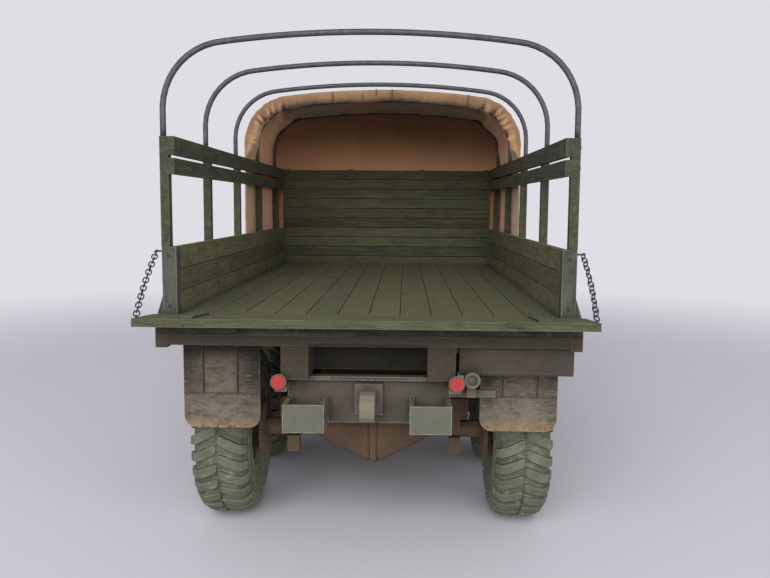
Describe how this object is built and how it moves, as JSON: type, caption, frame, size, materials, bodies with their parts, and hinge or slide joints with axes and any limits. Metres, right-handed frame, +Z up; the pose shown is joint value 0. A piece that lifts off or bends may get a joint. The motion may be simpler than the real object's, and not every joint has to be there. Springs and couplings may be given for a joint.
{
  "type": "scale model of a military cargo truck",
  "caption": "Scale model of a six-wheel-drive military cargo truck: slatted bed with hoops, canvas tilt drawn forward, lowered tailgate on chains, metal cab, big lugged tyres that roll.",
  "frame": {"origin": "middle of the whole model's footprint, on the ground under the tyres", "axes": "+Y forwards along the truck, +X to its right, +Z up"},
  "size_m": [0.0654, 0.2038, 0.0839],
  "materials": {
    "body_paint": "matte, weathered green paint",
    "painted_boards": "matte green paint over moulded boards",
    "wheel_paint": "matte, dusty",
    "chassis_dirt": "matte, dusty and rusty brown",
    "dark_metal": "dark, satin",
    "tyre": "dusty",
    "canvas": "tan canvas",
    "seat_cover": "dull brown",
    "glass": "clear",
    "clear_lens": "clear",
    "red_lens": "satin red"
  },
  "bodies": {
    "truck": {"bed_floor": "painted_boards", "bed_frame": "painted_boards", "bogie_links": "chassis_dirt", "bulkhead": "painted_boards", "cab_glass": "glass", "cab_seat": "seat_cover", "cab_shell": "body_paint", "canvas_tilt": "canvas", "corner_posts": "body_paint", "drive_line": "chassis_dirt", "engine_block": "chassis_dirt", "frame_crossmembers": "body_paint", "front_axle": "chassis_dirt", "front_bumper": "body_paint", "front_knuckles": "chassis_dirt", "front_tow_eyes": "body_paint", "fuel_tanks": "body_paint", "headlamp_lenses": "clear_lens", "headlamps": "body_paint", "hood": "body_paint", "hoops": "dark_metal", "leaf_springs": "chassis_dirt", "left_door": "body_paint", "left_fender": "body_paint", "left_frame_rail": "body_paint", "low_sides": "painted_boards", "middle_axle": "chassis_dirt", "mudguards": "body_paint", "radiator_grille": "body_paint", "rear_axle": "chassis_dirt", "rear_crossmember": "body_paint", "right_door": "body_paint", "right_fender": "body_paint", "right_frame_rail": "body_paint", "running_boards": "body_paint", "side_racks": "painted_boards", "spare_cradle": "body_paint", "spare_tyre": "tyre", "spare_wheel": "wheel_paint", "steering_wheel": "dark_metal", "tail_lamp_lenses": "red_lens", "tail_lamps": "body_paint", "tailgate": "painted_boards", "tailgate_chains": "dark_metal", "tool_box": "painted_boards", "towing_hook": "body_paint", "trailer_socket": "body_paint"},
    "front_left_wheel_body": {"front_left_tyre": "tyre", "front_left_wheel": "wheel_paint"},
    "front_right_wheel_body": {"front_right_tyre": "tyre", "front_right_wheel": "wheel_paint"},
    "middle_left_wheel_body": {"middle_left_tyre": "tyre", "middle_left_wheel": "wheel_paint"},
    "middle_right_wheel_body": {"middle_right_tyre": "tyre", "middle_right_wheel": "wheel_paint"},
    "rear_left_wheel_body": {"rear_left_tyre": "tyre", "rear_left_wheel": "wheel_paint"},
    "rear_right_wheel_body": {"rear_right_tyre": "tyre", "rear_right_wheel": "wheel_paint"}
  },
  "joints": [
    {"name": "front_left_roll", "type": "hinge", "parent": "truck", "child": "front_left_wheel_body", "pos_m": [-0.0262, 0.0725, 0.0158], "axis": [-1, 0, 0], "continuous": true},
    {"name": "front_right_roll", "type": "hinge", "parent": "truck", "child": "front_right_wheel_body", "pos_m": [0.0262, 0.0725, 0.0158], "axis": [-1, 0, 0], "continuous": true},
    {"name": "middle_left_roll", "type": "hinge", "parent": "truck", "child": "middle_left_wheel_body", "pos_m": [-0.0262, -0.0322, 0.0158], "axis": [-1, 0, 0], "continuous": true},
    {"name": "middle_right_roll", "type": "hinge", "parent": "truck", "child": "middle_right_wheel_body", "pos_m": [0.0262, -0.0322, 0.0158], "axis": [-1, 0, 0], "continuous": true},
    {"name": "rear_left_roll", "type": "hinge", "parent": "truck", "child": "rear_left_wheel_body", "pos_m": [-0.0262, -0.0648, 0.0158], "axis": [-1, 0, 0], "continuous": true},
    {"name": "rear_right_roll", "type": "hinge", "parent": "truck", "child": "rear_right_wheel_body", "pos_m": [0.0262, -0.0648, 0.0158], "axis": [-1, 0, 0], "continuous": true}
  ]
}
